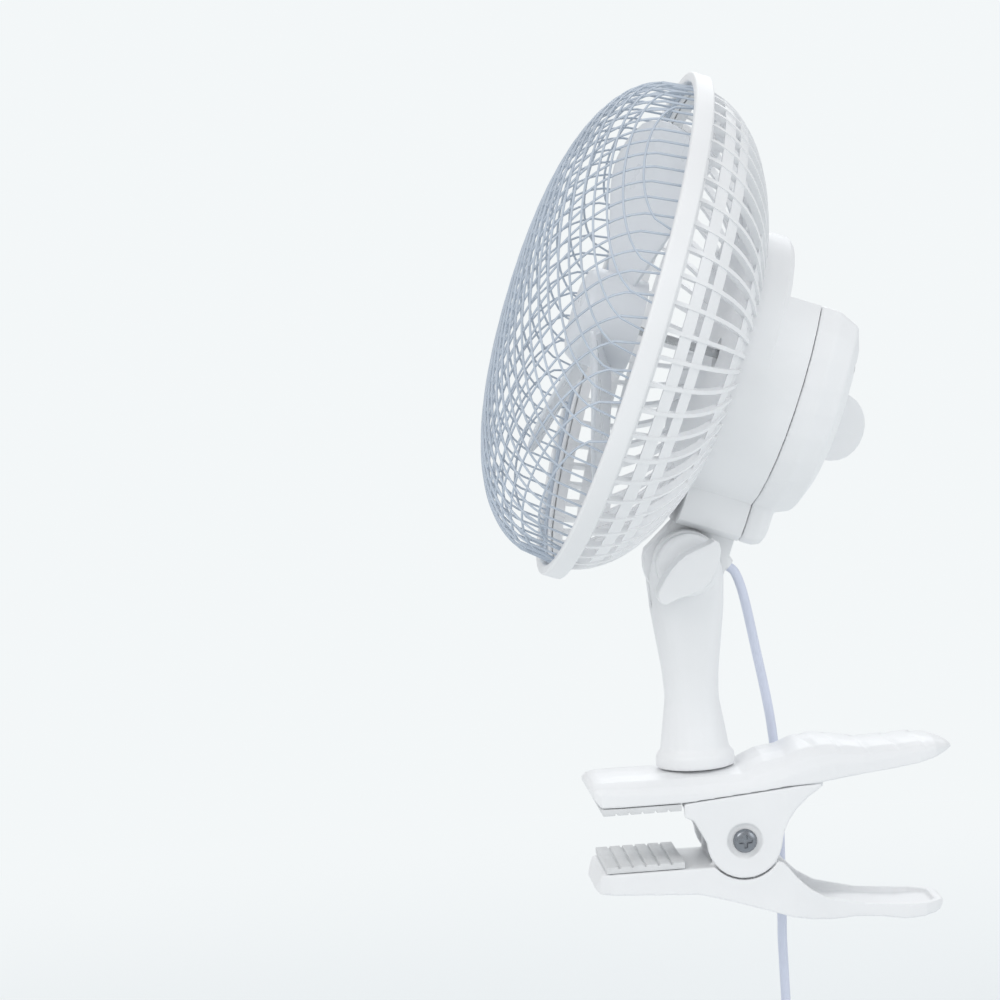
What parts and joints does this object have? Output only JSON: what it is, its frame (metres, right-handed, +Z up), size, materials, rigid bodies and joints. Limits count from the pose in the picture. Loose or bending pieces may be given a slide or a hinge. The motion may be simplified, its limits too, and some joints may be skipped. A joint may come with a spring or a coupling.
{
  "type": "clip fan",
  "caption": "Clip-on desk fan with a round wire guard, tilting motor head, swivelling post, sprung clamp and mains cord.",
  "frame": {"origin": "the middle of the underside of the upper jaw's pad, where it rests on the tabletop", "axes": "+Z up, away from the tabletop; the fan blows towards -Y over the table; the clamp's handles point to +Y; +X is the side with the wing knob"},
  "size_m": [0.182, 0.1584, 0.4373],
  "materials": {
    "white_plastic": "satin moulded",
    "pale_plastic": "satin, slightly translucent",
    "coated_wire": "plastic coated wire",
    "pad_rubber": "matte",
    "steel": "zinc plated",
    "laminations": "bare laminations",
    "copper_winding": "enamelled",
    "cast_metal": "die cast",
    "dark_plastic": "matte",
    "cord_sheath": "soft sheath",
    "tie_plastic": "matte",
    "brass": "nickel-free pins"
  },
  "bodies": {
    "clamp": {"upper_cover": "white_plastic", "clip_body": "white_plastic", "upper_pad": "pad_rubber", "clamp_screw": "steel", "clamp_nut": "steel", "clip_spring": "steel", "cord": "cord_sheath", "cord_coil": "cord_sheath", "cord_tie": "tie_plastic", "plug_body": "cord_sheath", "plug_pin_1": "brass", "plug_pin_2": "brass"},
    "lower_lever": {"lower_lever": "white_plastic", "lower_pad": "pad_rubber"},
    "post": {"post": "white_plastic", "tilt_bolt": "steel", "swivel_washer": "steel", "swivel_screw": "steel"},
    "wing_knob": {"wing_knob": "white_plastic"},
    "head": {"front_net": "coated_wire", "guard_ring": "white_plastic", "rear_grille": "white_plastic", "stator": "laminations", "motor_coil": "copper_winding", "front_bearing_bracket": "cast_metal", "rear_bearing_bracket": "cast_metal", "housing_front": "white_plastic", "housing_rear_cover": "white_plastic", "cover_screw_1": "steel", "cover_screw_2": "steel", "cover_screw_3": "steel", "rotary_switch": "dark_plastic", "cord_gland": "cord_sheath"},
    "fan_rotor": {"fan_blades": "pale_plastic", "motor_shaft": "steel", "rotor": "laminations"},
    "switch_knob": {"switch_knob": "white_plastic"}
  },
  "joints": [
    {"name": "clamp_open", "type": "hinge", "parent": "clamp", "child": "lower_lever", "pos_m": [0, 0.0328, -0.0121], "axis": [1, 0, 0], "range_deg": [-21, 32], "stiffness_Nm_per_rad": 0.6, "deforming": ["clip_spring"]},
    {"name": "post_swivel", "type": "hinge", "parent": "clamp", "child": "post", "pos_m": [0, 0.0194, 0.015], "axis": [0, 0, 1], "range_deg": [-90, 90], "deforming": ["cord"]},
    {"name": "head_tilt", "type": "hinge", "parent": "post", "child": "head", "pos_m": [0, 0.0194, 0.085], "axis": [1, 0, 0], "range_deg": [-40, 40]},
    {"name": "tilt_lock", "type": "hinge", "parent": "post", "child": "wing_knob", "pos_m": [0.015, 0.0194, 0.085], "axis": [1, 0, 0], "range_deg": [0, 180]},
    {"name": "fan_spin", "type": "hinge", "parent": "head", "child": "fan_rotor", "pos_m": [0, 0.00318, 0.16849], "axis": [0, 0.9373, -0.3486], "continuous": true},
    {"name": "speed_switch", "type": "hinge", "parent": "head", "child": "switch_knob", "pos_m": [0, 0.071, 0.12993], "axis": [0, 0.9373, -0.3486], "range_deg": [0, 90]}
  ]
}
